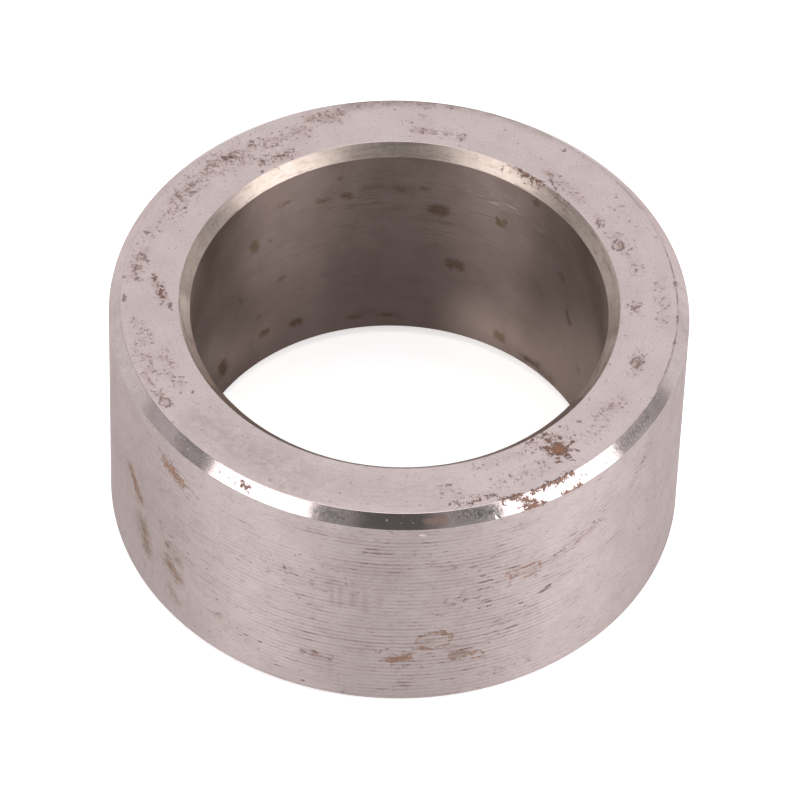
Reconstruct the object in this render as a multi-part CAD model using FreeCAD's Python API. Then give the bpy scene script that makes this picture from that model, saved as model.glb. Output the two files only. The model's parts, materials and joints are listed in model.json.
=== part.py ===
"""Plain steel bushing: one turned ring with a straight through bore.

The ring stands on its bottom face, with its axis along +Z and its origin at the centre
of that face. It is one piece of steel, turned all over: a straight outside that presses
into a housing, a straight bore that a pin or shaft turns in, two flat end faces, and a
45 degree chamfer on each of the four edges where a face meets the outside or the bore.
All sizes are in millimetres.
"""

import os

import FreeCAD, Part
from FreeCAD import Vector

# Driving dimensions: the body of the ring
bore_diameter = 36.0
wall_thickness = 7.0
length = 24.0

# Driving dimensions: the chamfers, as broad as they are deep
top_outer_chamfer = 1.0
top_bore_chamfer = 1.0
bottom_outer_chamfer = 0.7
bottom_bore_chamfer = 1.0

bore_radius = bore_diameter / 2
outer_radius = bore_radius + wall_thickness


def ring_section():
    """One half of the ring's section, in the XZ plane, from the bottom face round."""
    corners = [
        (bore_radius + bottom_bore_chamfer, 0),
        (outer_radius - bottom_outer_chamfer, 0),
        (outer_radius, bottom_outer_chamfer),
        (outer_radius, length - top_outer_chamfer),
        (outer_radius - top_outer_chamfer, length),
        (bore_radius + top_bore_chamfer, length),
        (bore_radius, length - top_bore_chamfer),
        (bore_radius, bottom_bore_chamfer),
    ]
    points = [Vector(radius, 0, height) for radius, height in corners]
    return Part.Face(Part.makePolygon(points + points[:1]))


def bushing():
    """The section turned once round the axis."""
    return ring_section().revolve(Vector(0, 0, 0), Vector(0, 0, 1), 360)


os.makedirs("parts", exist_ok=True)
bushing().exportStep("parts/bushing.step")
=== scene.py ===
"""Looks of the plain steel bushing: a turned ring with tool marks, small pits and rust spots.

The ring is one mesh, drawn as a half section and spun round the bore's axis, with the turning
grooves of its outside as real steps. Its five finishes are the turned outside, the faced ends, the
bored inside, and the bright chamfers of the outside and of the bore. Every size is in metres, in
the part's own frame: +Z along the bore, and azimuths in degrees from +X, anticlockwise from above.
"""

import json
import math
import random

import bpy
from mathutils import Matrix, Vector
from mathutils.kdtree import KDTree


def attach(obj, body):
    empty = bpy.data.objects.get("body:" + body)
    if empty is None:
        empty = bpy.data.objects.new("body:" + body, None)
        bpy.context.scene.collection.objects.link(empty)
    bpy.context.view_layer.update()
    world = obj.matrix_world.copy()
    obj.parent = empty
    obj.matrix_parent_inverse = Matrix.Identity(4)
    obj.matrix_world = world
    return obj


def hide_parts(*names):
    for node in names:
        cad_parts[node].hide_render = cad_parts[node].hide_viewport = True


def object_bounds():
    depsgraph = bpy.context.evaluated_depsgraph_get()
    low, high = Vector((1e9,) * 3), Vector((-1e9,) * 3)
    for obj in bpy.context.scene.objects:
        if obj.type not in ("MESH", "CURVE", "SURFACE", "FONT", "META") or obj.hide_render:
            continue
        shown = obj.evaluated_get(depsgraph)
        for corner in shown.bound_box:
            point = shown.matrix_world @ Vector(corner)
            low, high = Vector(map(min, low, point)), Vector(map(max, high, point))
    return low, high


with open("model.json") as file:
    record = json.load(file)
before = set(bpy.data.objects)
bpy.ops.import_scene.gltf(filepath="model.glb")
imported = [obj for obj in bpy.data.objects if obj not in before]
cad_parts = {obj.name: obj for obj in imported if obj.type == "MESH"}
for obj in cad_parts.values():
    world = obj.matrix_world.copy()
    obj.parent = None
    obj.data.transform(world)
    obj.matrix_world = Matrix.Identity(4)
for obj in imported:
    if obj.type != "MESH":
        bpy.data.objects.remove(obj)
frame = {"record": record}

MM = 0.001
cad_low, cad_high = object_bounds()
mounts = {mount["name"]: mount for mount in frame["record"]["mounts"]}


def straight_wall(name):
    """Radius, lowest and highest point of a round mount's straight wall."""
    mount = mounts[name]
    middle = mount["pos_m"][2]
    half = mount["dims"]["length_mm"] * MM / 2
    return mount["dims"]["r_mm"] * MM, middle - half, middle + half


bore_radius, bore_low, bore_high = straight_wall("bore")
outer_radius, outer_low, outer_high = straight_wall("outside")
outer_radius = min(outer_radius, -cad_low.x, cad_high.x, -cad_low.y, cad_high.y)
bottom, top = cad_low.z, cad_high.z
face_outer = outer_radius - (top - outer_high)
face_inner = bore_radius + (top - bore_high)

# The ring's mesh
SEGMENTS = 448
FACE_ROWS = 16
BORE_ROWS = 30
CHAMFER_ROWS = 2
BOTTOM_ROWS = 7
GROOVE_COUNT = 47
GROOVE_DEPTH = 0.012 * MM
GROOVE_SPREAD = (0.55, 1.35)
RIDGE_DEPTH = 0.1
EDGE_BREAK = 0.045 * MM
EDGE_ROUNDING = 0.3
WELD = 0.001 * MM
SHARP_EDGE = math.radians(32)
SEED = 7
LARGE_FACE_WEIGHT = 100
GROOVES = "grooves"

groove_low, groove_high = outer_low + EDGE_BREAK, outer_high - EDGE_BREAK
groove_pitch = (groove_high - groove_low) / GROOVE_COUNT


def clean_slate():
    """Nothing selected, in object mode."""
    if bpy.context.object and bpy.context.object.mode != "OBJECT":
        bpy.ops.object.mode_set(mode="OBJECT")
    bpy.ops.object.select_all(action="DESELECT")


# The ring's shape

def broken_corner(before, corner, after):
    """Three points that round a corner of the section off by the edge break."""
    corner = Vector(corner)
    inward = (Vector(before) - corner).normalized() * EDGE_BREAK
    onward = (Vector(after) - corner).normalized() * EDGE_BREAK
    return [corner + inward, corner + (inward + onward) * EDGE_ROUNDING, corner + onward]


def turned_outside(chance):
    """Points up the outside: a row of shallow scallops, one for each turn of the tool."""
    points = []
    for groove in range(GROOVE_COUNT):
        depth = GROOVE_DEPTH * chance.uniform(*GROOVE_SPREAD)
        start = groove_low + groove * groove_pitch
        for step in (1 / 3, 2 / 3):
            points.append(Vector((outer_radius - depth, start + step * groove_pitch)))
        if groove < GROOVE_COUNT - 1:
            points.append(Vector((outer_radius - RIDGE_DEPTH * depth, start + groove_pitch)))
    return points


def straight_row(start, end, rows):
    """Points that divide a straight line of the section into rows, without its ends."""
    start, end = Vector(start), Vector(end)
    return [start.lerp(end, row / rows) for row in range(1, rows)]


def half_section(chance):
    """The ring's half section as (radius, height) points, up the outside and on round."""
    sides = [
        ((outer_radius, outer_low), GROOVES),
        ((outer_radius, outer_high), CHAMFER_ROWS),
        ((face_outer, top), FACE_ROWS),
        ((face_inner, top), CHAMFER_ROWS),
        ((bore_radius, bore_high), BORE_ROWS),
        ((bore_radius, bore_low), CHAMFER_ROWS),
        ((bore_radius + (bore_low - bottom), bottom), BOTTOM_ROWS),
        ((outer_radius - (outer_low - bottom), bottom), CHAMFER_ROWS),
    ]
    points = []
    for place, (corner, rows) in enumerate(sides):
        before, after = sides[place - 1][0], sides[(place + 1) % len(sides)][0]
        points += broken_corner(before, corner, after)
        points += turned_outside(chance) if rows == GROOVES else straight_row(corner, after, rows)
    return points


def drawn_wire(name, points):
    """A closed wire in the XZ plane, drawn point by point from one vertex."""
    clean_slate()
    bpy.ops.mesh.primitive_plane_add(size=MM, location=(0, 0, 0))
    piece = bpy.context.object
    piece.name = piece.data.name = name
    bpy.ops.object.mode_set(mode="EDIT")
    bpy.ops.mesh.select_all(action="SELECT")
    bpy.ops.mesh.merge(type="CENTER")
    bpy.ops.transform.translate(value=(points[0].x, 0, points[0].y))
    for start, end in zip(points, points[1:] + points[:1]):
        step = (end.x - start.x, 0, end.y - start.y)
        bpy.ops.mesh.extrude_region_move(TRANSFORM_OT_translate={"value": step})
    bpy.ops.mesh.select_all(action="SELECT")
    bpy.ops.mesh.remove_doubles(threshold=WELD)
    return piece


def resized(times):
    """The selected piece made larger or smaller about the origin, with its own scale left at 1."""
    bpy.ops.transform.resize(value=(times, times, times))
    bpy.ops.object.transform_apply(location=False, rotation=False, scale=True)


def turned_ring():
    """The half section spun round the bore's axis into one closed mesh."""
    piece = drawn_wire("bushing_ring", half_section(random.Random(SEED)))
    bpy.ops.mesh.select_all(action="SELECT")
    bpy.ops.mesh.spin(steps=SEGMENTS, angle=2 * math.pi, center=(0, 0, 0), axis=(0, 0, 1))
    bpy.ops.mesh.select_all(action="SELECT")
    bpy.ops.mesh.remove_doubles(threshold=WELD)
    bpy.ops.mesh.normals_make_consistent(inside=False)
    bpy.ops.object.mode_set(mode="OBJECT")
    bpy.ops.object.shade_smooth_by_angle(angle=SHARP_EDGE)
    resized(1 / MM)
    bpy.ops.object.modifier_add(type="WEIGHTED_NORMAL")
    weighted = piece.modifiers[-1]
    weighted.weight = LARGE_FACE_WEIGHT
    weighted.keep_sharp = True
    bpy.ops.object.modifier_apply(modifier=weighted.name)
    resized(MM)
    return piece


# Wiring of nodes

def feed(socket, value):
    """Links another socket to this one, or sets it to a plain value."""
    if isinstance(value, bpy.types.NodeSocket):
        socket.id_data.links.new(value, socket)
    else:
        socket.default_value = value


def add(tree, kind, *inputs, **settings):
    """A new node with its settings, and with its first inputs fed in order."""
    node = tree.nodes.new(kind)
    for name, value in settings.items():
        setattr(node, name, value)
    for socket, value in zip(node.inputs, inputs):
        feed(socket, value)
    return node


def calc(tree, operation, *inputs):
    """A Math node's result."""
    return add(tree, "ShaderNodeMath", *inputs, operation=operation).outputs[0]


def times(tree, first, second):
    """The product of two values."""
    return calc(tree, "MULTIPLY", first, second)


def total(tree, *parts):
    """The sum of several (socket, amount) pairs, sockets and plain numbers."""
    found = None
    for part in parts:
        if isinstance(part, tuple):
            part = times(tree, *part)
        found = part if found is None else calc(tree, "ADD", found, part)
    return found


def distance_from(tree, value, middle):
    """How far a value is from another, whichever is larger."""
    return calc(tree, "ABSOLUTE", calc(tree, "SUBTRACT", value, middle))


def soft_step(tree, value, low, high, start=0.0, end=1.0):
    """start up to low, end from high on, and a smooth change between them."""
    node = add(
        tree, "ShaderNodeMapRange", value, low, high, start, end, interpolation_type="SMOOTHSTEP"
    )
    return node.outputs["Result"]


def blend_colour(tree, factor, first, second, kind="MIX"):
    """Colours mixed by a factor."""
    node = add(tree, "ShaderNodeMix", data_type="RGBA", blend_type=kind)
    feed(node.inputs["Factor"], factor)
    for name, colour in (("A", first), ("B", second)):
        linked = isinstance(colour, bpy.types.NodeSocket)
        feed(node.inputs[name], colour if linked else (*colour, 1))
    return node.outputs["Result"]


def laid_over(tree, colour, tone, mask, amount, kind="MIX"):
    """A colour with a tone over it where the mask is, as strong as the amount."""
    return blend_colour(tree, times(tree, mask, amount), colour, tone, kind)


def noise(tree, vector, scale, detail=2.0, roughness=0.5, distortion=0.0):
    """Noise from 0 to 1, about 0.5 in the middle."""
    node = add(tree, "ShaderNodeTexNoise")
    feed(node.inputs["Vector"], vector)
    feed(node.inputs["Scale"], scale)
    feed(node.inputs["Detail"], detail)
    feed(node.inputs["Roughness"], roughness)
    feed(node.inputs["Distortion"], distortion)
    return node.outputs["Fac"]


VALUE = "NodeSocketFloat"
VECTOR = "NodeSocketVector"


def new_group(name, inputs, values=(), vectors=()):
    """An empty shader group: its tree, its inputs by name, and the node that takes its outputs.

    inputs says what each input is before it is fed, a number or a vector; values and vectors name
    the outputs.
    """
    tree = bpy.data.node_groups.new(name, "ShaderNodeTree")
    for title, value in inputs.items():
        kind = VECTOR if isinstance(value, tuple) else VALUE
        tree.interface.new_socket(title, in_out="INPUT", socket_type=kind).default_value = value
    for kind, titles in ((VALUE, values), (VECTOR, vectors)):
        for title in titles:
            tree.interface.new_socket(title, in_out="OUTPUT", socket_type=kind)
    return tree, tree.nodes.new("NodeGroupInput").outputs, tree.nodes.new("NodeGroupOutput").inputs


def use_group(tree, group, **values):
    """A group placed in a tree, fed by the names of its inputs, with spaces as underscores."""
    node = tree.nodes.new("ShaderNodeGroup")
    node.node_tree = group
    for name, value in values.items():
        feed(node.inputs[name.replace("_", " ")], value)
    return node.outputs


# Blemishes, placed one by one

# Each blemish is a stroke on one of the surfaces: the points it runs through, its half width in
# millimetres and its strength. A point is an azimuth in degrees and a place: a radius in
# millimetres on the face and on the bottom, a height in millimetres on the outside wall and in the
# bore, and on a chamfer the share of its width, from 0 at the face to 1 at the wall.

def loop(azimuth, place, half_turn, half_rise, count=9):
    """The points of an oval outline."""
    points = []
    for step in range(count):
        a = 2 * math.pi * step / (count - 1)
        points.append((azimuth + half_turn * math.cos(a), place + half_rise * math.sin(a)))
    return points


# Rust spots, and the stains round them and of oil
RUST = {
    "face": [
        # The star on the face, and the specks beside it at the bore's edge
        ([(-49.5, 21.4)], 1.0, 1.1),
        ([(-53.2, 21.3), (-45.8, 21.5)], 0.45, 0.62),
        ([(-52.3, 20.4), (-46.8, 22.4)], 0.45, 0.62),
        ([(-52.3, 22.4), (-46.8, 20.4)], 0.45, 0.62),
        ([(-49.7, 20.0), (-49.3, 22.8)], 0.45, 0.62),
        ([(-55, 19.4), (-52, 19.2)], 0.5, 0.42),
        ([(-50.5, 19.4), (-48, 19.5)], 0.6, 0.5),
        # At the face's front edge, and at the bore's edge behind
        ([(-78, 23.3), (-74, 23.6), (-71, 23.2), (-68, 23.1)], 0.45, 0.5),
        ([(59, 18.95), (50, 18.95)], 0.35, 0.45),
        # The chain at the left of the face
        ([(174.5, 21.4), (176, 21.0)], 0.45, 0.5),
        ([(178, 20.6), (180, 20.5), (182, 20.1)], 0.6, 0.5),
        ([(183.5, 19.8), (185.5, 19.5)], 0.45, 0.55),
        # Reddish patches at the left rear of the face
        ([(127, 20.3), (122, 19.9)], 0.8, 0.38),
        ([(134, 22.5), (132, 22.0)], 0.9, 0.34),
    ],
    "outer_chamfer": [
        ([(-67.5, -0.1), (-63.5, 0.0)], 0.5, 0.65),
        ([(-63.5, 0.35), (-61.5, 0.5)], 0.45, 0.65),
        ([(-64, 0.85), (-59.5, 1.0)], 0.5, 0.75),
        ([(-61, 0.05), (-58, 0.0)], 0.35, 0.5),
        ([(-57, 0.0), (-51.5, 0.05)], 0.5, 0.65),
        ([(-54.5, 1.0), (-50.5, 0.95)], 0.5, 0.65),
        ([(-51, 0.3), (-49, 0.5)], 0.4, 0.4),
        ([(-121.2, 0.5), (-119.8, 0.45)], 0.45, 0.6),
    ],
    "bore_chamfer": [
        ([(58.5, 0.05), (55, 0.35), (51, 0.3)], 0.5, 0.37),
        ([(45, 0.1), (40, 0.2)], 0.6, 0.46),
    ],
    "wall": [
        ([(-140.5, 20.1), (-136, 19.4)], 1.9, 0.74),
        ([(-143, 21.1), (-140.5, 20.3)], 0.6, 0.55),
        ([(-135, 19.2), (-131.5, 19.0)], 0.7, 0.5),
        ([(-154.5, 13.1), (-150.5, 11.2)], 1.7, 0.6),
        ([(-149, 7.6), (-148, 6.6)], 0.9, 0.5),
        ([(-140, 7.1), (-137.8, 6.4)], 1.4, 0.56),
        (loop(-81, 8.3, 3.4, 1.05, 17), 0.46, 0.72),
        ([(-79.5, 9.6), (-77.5, 8.8)], 0.5, 0.7),
        ([(-84, 7.4), (-81, 7.2)], 0.5, 0.65),
        ([(-89, 5.9), (-86, 6.3)], 0.9, 0.95),
        ([(-89, 4.9), (-87, 4.9)], 0.5, 0.5),
        (loop(-76, 6.0, 1.9, 0.6), 0.4, 0.62),
        (loop(-72, 5.6, 1.1, 0.5), 0.4, 0.7),
        ([(-72.5, 4.3), (-71.5, 4.5)], 0.4, 0.6),
        ([(-66.5, 15.4), (-60, 15.7), (-59.2, 14.9), (-60.5, 14.3), (-63, 14.1)], 0.38, 0.7),
        ([(-66.3, 15.0), (-65.5, 14.4), (-66.2, 13.7)], 0.4, 0.66),
        ([(-69, 3.2), (-68, 2.0), (-66, 2.6)], 0.3, 0.55),
        ([(-84, 4.8), (-80.5, 4.9)], 0.25, 0.5),
        ([(-31, 20.0), (-33.5, 18.6)], 0.4, 0.5),
        ([(-46.5, 16.9), (-46, 16.0)], 0.4, 0.5),
        ([(-72.5, 21.9), (-70, 22.0)], 0.6, 0.4),
        ([(-105.5, 5.7), (-103.5, 5.3)], 0.4, 0.5),
        # Round the back
        ([(76, 7.1), (78.5, 6.6)], 0.9, 0.6),
        (loop(128, 8.2, 1.8, 0.7), 0.42, 0.7),
        ([(28, 17.8), (31, 17.4)], 0.6, 0.55),
    ],
    "bottom": [
        ([(118, 21.3), (121, 21.8)], 1.2, 0.6),
    ],
}

STAINS = {
    "face": [
        ([(111, 22.8), (106, 22.6)], 1.7, 0.62),
        ([(52, 20.3), (50, 20.1)], 0.7, 0.75),
        ([(21, 20.3)], 0.85, 0.9),
        ([(-17, 21.3)], 1.15, 0.95),
        ([(13, 20.8)], 0.7, 0.5),
        ([(-74, 23.0), (-66, 22.6)], 0.7, 0.6),
        ([(-50, 21.2)], 2.2, 0.5),
        ([(172, 22.7)], 1.0, 0.5),
        ([(-118, 23.1), (-108, 23.3)], 1.1, 0.6),
    ],
    "wall": [
        ([(-155, 13.2), (-150.5, 11.0)], 2.2, 0.8),
        ([(-149.5, 8.3), (-148, 5.8)], 2.4, 1.0),
        ([(-140, 9.4), (-137, 8.6)], 1.6, 0.85),
        ([(-140, 7.2), (-137, 6.4)], 1.8, 1.0),
        ([(-139, 4.0), (-137.5, 3.2)], 1.5, 0.85),
        ([(-126, 5.2), (-124.5, 4.4)], 1.7, 0.62),
        ([(-138, 11.2)], 1.2, 0.45),
        ([(-82, 8.3), (-80, 8.4)], 1.7, 0.62),
        ([(-77.0, 6.0), (-75.0, 6.0)], 1.1, 1.1),
        ([(-65, 14.9), (-61, 15.0)], 1.2, 0.7),
        ([(-106, 8.9), (-103, 8.7)], 0.5, 0.5),
        ([(-105, 5.5)], 1.2, 0.6),
        ([(-32, 19.4)], 1.3, 0.5),
        ([(-125, 21.8), (-95, 21.6)], 0.9, 0.55),
        ([(75, 7.2), (79, 6.5)], 1.3, 0.7),
        ([(127, 8.2), (129, 8.2)], 1.2, 0.7),
        ([(172, 15.5), (175, 14.6)], 1.3, 0.65),
    ],
    "bottom": [
        ([(119, 21.5)], 1.9, 0.7),
        ([(262, 20.4), (266, 20.2)], 1.5, 0.7),
    ],
    "bore": [
        ([(80.9, 16.7), (79.1, 16.7)], 1.55, 0.92),
        ([(75.4, 10.1), (73.6, 10.1)], 1.47, 0.92),
        ([(84.6, 19.1), (83.4, 19.1)], 0.93, 0.79),
        (loop(61, 17.6, 1.8, 0.5), 0.35, 0.9),
        ([(60.6, 2.9), (59.4, 2.7)], 1.16, 0.92),
        ([(54, 12.2)], 1.08, 0.53),
        ([(67, 13.1)], 0.93, 0.44),
        ([(38, 15.7)], 1.55, 0.62),
        ([(34.6, 12), (33.4, 11.2)], 0.93, 0.7),
        ([(27, 6.7)], 1.24, 0.7),
        ([(50, 22.4)], 1.4, 0.7),
        ([(50.4, 1.9), (45.6, 2.1)], 0.78, 0.92),
        ([(91.6, 18.9), (90.4, 18.9)], 0.93, 0.7),
        ([(108, 21.1)], 1.08, 0.7),
        ([(106.6, 18.6), (105.4, 18.5)], 1.08, 0.79),
        ([(114.8, 18.8), (111.2, 18.4)], 1.01, 0.7),
        ([(122, 20.6), (124.5, 20), (128, 19.8)], 0.78, 0.7),
        ([(136.3, 17), (135.7, 16.5)], 1.16, 0.92),
        ([(130, 16.2)], 0.93, 0.7),
        ([(136, 15.4)], 0.78, 0.53),
        ([(126.6, 10.6), (125.4, 10.4)], 1.08, 0.62),
        ([(130, 8.7)], 0.78, 0.62),
        ([(141.6, 11), (140.4, 10.6)], 1.4, 0.53),
        ([(134, 7.2)], 1.01, 0.7),
        ([(147, 9.9)], 1.08, 0.53),
        ([(121.5, 3.8), (120, 3.8)], 1.08, 0.92),
        ([(132.6, 4.5), (131.4, 4.5)], 1.08, 0.92),
        ([(150, 8.8)], 0.93, 0.62),
        ([(144, 5.3)], 0.78, 0.62),
        ([(150.2, 5), (149.3, 3.9)], 1.4, 0.92),
        ([(104, 2.7), (101, 2.8)], 0.78, 0.79),
        ([(94.4, 2.4), (92.6, 2.4)], 0.78, 0.7),
        ([(87.2, 4.8), (84.8, 4.8)], 0.62, 0.53),
    ],
    "bore_chamfer": [
        ([(84, 0.7), (78, 0.6)], 0.6, 0.6),
    ],
    "outer_chamfer": [
        ([(-83, 0.5), (-79.5, 0.5)], 0.8, 1.1),
        ([(-139, 0.5), (-131, 0.4)], 0.5, 0.6),
    ],
}

# Where the surface is finely pitted, and how closely
PITTING = {
    "face": [
        ([(111, 22.9), (105, 22.7)], 1.5, 0.95),
        ([(120, 22.0), (114, 21.8)], 1.8, 0.75),
        ([(127, 22.2), (123, 21.8)], 1.7, 0.8),
        ([(137, 22.4), (131, 22.1)], 2.4, 1.0),
        ([(128, 20.3), (120, 19.9)], 1.3, 1.0),
        ([(146, 22.4), (139, 22.6)], 2.1, 0.85),
        ([(154, 22.3), (148, 22.4)], 1.9, 0.8),
        ([(163, 22.8), (158, 22.8)], 1.3, 0.5),
        ([(175, 22.9), (168, 22.9)], 1.3, 0.85),
        ([(183, 20.2), (175, 21.2)], 0.9, 0.9),
        ([(-171, 22.4), (-168, 22.2)], 1.6, 0.7),
        ([(-165, 22.8), (-157, 22.6)], 1.6, 0.75),
        ([(-160, 21.2), (-151, 21.2)], 1.3, 0.7),
        ([(-156, 23.5), (-146, 23.0)], 0.9, 0.85),
        ([(-78, 22.2), (-72, 23.0)], 1.5, 0.55),
        ([(-70, 19.8), (-56, 20.0)], 1.1, 0.6),
        ([(-66, 21.8), (-55, 22.2)], 1.4, 0.6),
        ([(-54, 19.8), (-46, 20.2)], 1.3, 0.75),
        ([(-50, 21.4)], 2.2, 0.6),
        ([(-46, 21.2), (-38, 22.2)], 1.3, 0.6),
        ([(-36, 21.2), (-29, 21.8)], 1.2, 0.8),
        ([(-20, 21.3), (-14, 21.3)], 1.3, 0.75),
        ([(-2, 20.4), (2, 20.3)], 0.9, 0.65),
        ([(-3, 22.6), (10, 22.6)], 1.3, 0.6),
        ([(12, 21.0), (25, 20.5)], 1.2, 0.75),
        ([(24, 22.3), (34, 22.2)], 1.4, 0.45),
        ([(30, 19.9), (52, 20.1)], 0.9, 0.75),
        ([(76, 20.3), (88, 20.6)], 0.9, 0.85),
        ([(85, 22.0), (90, 21.4)], 0.9, 0.5),
        ([(103, 23.7), (78, 23.8)], 0.5, 0.8),
    ],
    "wall": [
        ([(-142, 10.6), (-133, 9.6)], 1.6, 0.5),
        ([(-107, 5.3), (-102, 5.2)], 1.0, 0.8),
        ([(-90, 6.5), (-70, 7.0)], 2.6, 0.45),
        ([(-80, 12.5), (-70, 13.5)], 2.4, 0.5),
        ([(-68, 9.5), (-62, 10.0)], 1.8, 0.45),
        ([(-69, 14.6), (-56, 15.0)], 1.6, 0.45),
        ([(-84, 18.5), (-74, 17.6)], 1.6, 0.4),
        ([(-52, 15.8), (-45, 16.6)], 1.2, 0.7),
        ([(-70, 3.0), (-62, 3.2)], 1.3, 0.5),
        ([(-120, 14.0), (-104, 16.0)], 2.8, 0.25),
        ([(-36, 17.8), (-30, 20.0)], 1.0, 0.5),
        ([(-127, 5.6), (-118, 4.4)], 1.6, 0.4),
        ([(28, 8.4), (46, 11.5)], 2.2, 0.5),
        ([(92, 14.5), (112, 12.0)], 2.4, 0.5),
        ([(158, 5.6), (170, 7.2)], 1.8, 0.5),
    ],
    "bottom": [
        ([(20, 20.8), (70, 21.8)], 1.6, 0.75),
        ([(150, 22.0), (185, 21.0)], 1.6, 0.7),
        ([(235, 20.6), (290, 21.6)], 1.5, 0.8),
        ([(320, 22.2), (342, 21.8)], 1.4, 0.6),
    ],
    "outer_chamfer": [
        ([(-126, 0.4), (-119, 0.4)], 0.5, 0.8),
        ([(-75, 0.4), (-50, 0.4)], 0.7, 0.6),
    ],
    "bore_chamfer": [
        ([(62, 0.3), (38, 0.3)], 0.6, 0.7),
    ],
}

# Single small dark marks
DARK_MARKS = {
    "face": [
        ([(169, 23.2), (169, 22.6), (170.5, 22.1)], 0.3, 0.9),
        ([(172, 22.9), (173.5, 23.1)], 0.28, 0.75),
        ([(176, 22.7)], 0.4, 1.0),
        ([(176, 23.9)], 0.35, 0.7),
        ([(181, 23.6), (182.5, 23.7)], 0.28, 0.8),
        ([(162, 23.4), (163, 22.6)], 0.28, 0.75),
        ([(145.3, 22.6), (145, 22.4)], 0.35, 0.9),
        ([(147, 22.0), (146, 21.6)], 0.28, 0.8),
        ([(149, 23.0), (150, 22.3)], 0.32, 0.85),
        ([(152, 21.5)], 0.35, 0.9),
        ([(134.5, 22.9), (132, 22.1)], 0.3, 0.8),
        ([(126, 22.8), (127, 22.4)], 0.3, 0.8),
        ([(123, 22.2), (125, 21.6)], 0.25, 0.7),
        ([(120, 22.2), (116.5, 22.3)], 0.22, 0.6),
        ([(130, 19.3)], 0.3, 0.85),
        ([(-152, 20.7)], 0.32, 0.9),
        ([(-147, 20.6)], 0.28, 0.8),
        ([(-157, 23.5)], 0.35, 0.8),
        (loop(-147.5, 23.2, 1.8, 0.4), 0.22, 0.8),
        ([(-78.5, 21.4), (-76, 21.0)], 0.22, 0.75),
        ([(-77, 23.0), (-76, 23.4)], 0.25, 0.8),
        ([(-60, 21.8)], 0.3, 0.6),
        ([(-40, 20.3)], 0.32, 0.9),
        ([(53, 23.2)], 0.38, 0.9),
        ([(47, 22.9)], 0.22, 0.5),
        ([(86, 20.3)], 0.4, 0.8),
        ([(83, 20.6), (84, 20.3)], 0.25, 0.7),
        ([(76, 20.1)], 0.45, 0.6),
        ([(50, 19.8), (46, 19.2)], 0.25, 0.7),
        (loop(30, 19.9, 1.2, 0.25), 0.22, 0.7),
        ([(14.5, 20.7), (12.5, 20.9)], 0.28, 0.65),
        ([(1.4, 19.6), (0.1, 20.1), (1.4, 20.8)], 0.3, 0.68),
        ([(0.1, 20.1), (-1.2, 20.5)], 0.28, 0.62),
        (loop(21.5, 20.15, 1.7, 0.45), 0.28, 0.66),
        ([(-17.4, 20.8), (-15.0, 21.1), (-16.6, 22.0)], 0.3, 0.62),
        ([(-16.6, 21.3), (-18.6, 21.7)], 0.28, 0.6),
        ([(-22, 21.3)], 0.3, 0.75),
        ([(8.0, 23.9), (7.0, 23.9)], 0.3, 0.9),
        ([(-1.6, 23.9), (-2.6, 23.9)], 0.3, 0.8),
        ([(-8.7, 23.9)], 0.34, 0.9),
    ],
    "wall": [
        ([(-111, 15.8)], 0.35, 0.9),
        ([(-108, 18.0)], 0.3, 0.7),
        ([(-148.5, 7.6)], 0.4, 0.8),
        ([(-140.5, 9.5), (-139, 9.2)], 0.3, 0.7),
        ([(-138, 3.5)], 0.3, 0.6),
        ([(-59, 11.4), (-57, 11.7)], 0.42, 0.85),
        ([(-71, 12.6), (-70, 12.5)], 0.45, 0.8),
        ([(-66, 8.1), (-64, 8.2)], 0.35, 0.7),
        ([(-64, 11.0), (-63, 11.0)], 0.25, 0.7),
        ([(-78, 17.7), (-75, 17.8)], 0.2, 0.7),
        ([(-72.5, 16.0), (-71, 15.9)], 0.25, 0.75),
        ([(-72, 15.1), (-70, 15.2)], 0.28, 0.75),
        ([(-74, 14.2), (-70, 14.3)], 0.2, 0.6),
        ([(-66.5, 15.9), (-64, 15.9)], 0.25, 0.8),
        ([(-52, 5.0)], 0.3, 0.7),
        ([(-42, 5.7)], 0.3, 0.5),
        ([(-84, 3.0)], 0.3, 0.8),
        ([(-106, 9.0)], 0.3, 0.5),
        ([(-105, 5.9), (-103, 5.4)], 0.28, 0.8),
        ([(-46.5, 17.0), (-46, 16.5)], 0.22, 0.8),
        ([(-56, 15.4), (-53, 16.0)], 0.2, 0.6),
        ([(-107, 1.4)], 0.35, 0.8),
    ],
    "outer_chamfer": [
        ([(-127.5, 0.35), (-126.5, 0.45)], 0.22, 0.7),
        ([(7.4, 0.4)], 0.32, 0.7),
        ([(3.0, 0.3)], 0.32, 0.75),
        ([(-5.2, 0.7), (-6.0, 0.9)], 0.32, 0.85),
        ([(-9.5, 0.25)], 0.32, 0.8),
    ],
}

# Where the tool marks are darkened, partly dirt in them and partly painted shade that brings the
# grooves out
GROOVE_DIRT_AND_SHADE = {
    "wall": [
        ([(-102, 9.0), (-72, 9.0)], 13.0, 1.15),
        ([(-92, 19.0), (-70, 17.0)], 7.0, 1.2),
        ([(-128, 12.0), (-112, 14.0)], 9.0, 0.75),
        ([(-64, 14.0), (-46, 15.0)], 7.0, 0.7),
        ([(-158, 10.0), (-140, 12.0)], 8.0, 0.5),
        ([(15, 8.0), (55, 12.0)], 11.0, 0.8),
        ([(100, 13.0), (145, 9.0)], 11.0, 0.75),
    ],
    "face": [
        ([(-130, 22.0), (-60, 22.0)], 4.0, 1.0),
    ],
    "bore": [
        ([(105, 17.0), (70, 17.0)], 5.0, 1.0),
        ([(140, 14.0), (120, 12.0)], 6.0, 0.6),
    ],
}

# The parts of the face's rim where a thin dark line shows
RIM_LINE = {
    "face": [
        ([(38, 23.9), (16, 23.9)], 0.9, 0.6),
        ([(16, 23.9), (-22, 23.9)], 0.9, 1.2),
        ([(100, 23.8), (66, 23.8)], 0.9, 0.9),
    ],
}
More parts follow.
